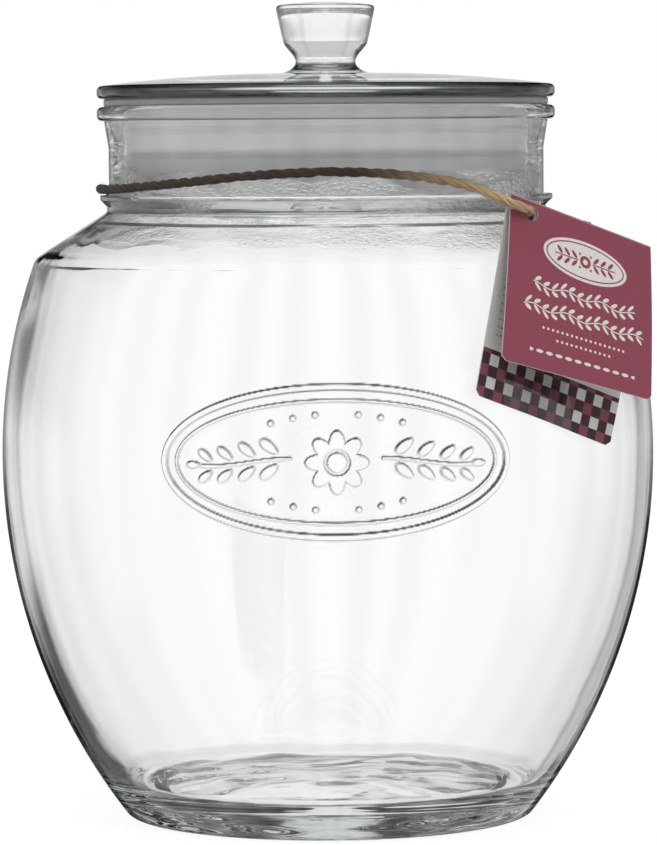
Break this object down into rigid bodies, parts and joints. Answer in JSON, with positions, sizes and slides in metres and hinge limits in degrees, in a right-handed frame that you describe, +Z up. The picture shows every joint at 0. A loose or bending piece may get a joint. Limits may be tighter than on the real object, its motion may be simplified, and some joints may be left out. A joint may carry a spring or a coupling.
{
  "type": "storage jar",
  "caption": "Clear glass barrel storage jar with a knobbed glass lid, a silicone seal and a folded card tag on twine.",
  "frame": {"origin": "middle of the ring that the jar stands on, at the bottom", "axes": "+Z up along the jar's axis of turning, -Y towards the front, so the tag hangs at +X -Y"},
  "size_m": [0.1998, 0.1998, 0.2493],
  "materials": {
    "jar_glass": "clear moulded soda-lime glass",
    "lid_glass": "clear pressed soda-lime glass",
    "silicone": "translucent grey silicone, satin",
    "jute": "twisted natural jute twine",
    "card": "printed uncoated card, wine red outside and pale inside"
  },
  "bodies": {
    "root": {"jar": "jar_glass", "lid": "lid_glass", "seal": "silicone", "twine": "jute", "knot": "jute", "tag": "card"}
  },
  "joints": []
}
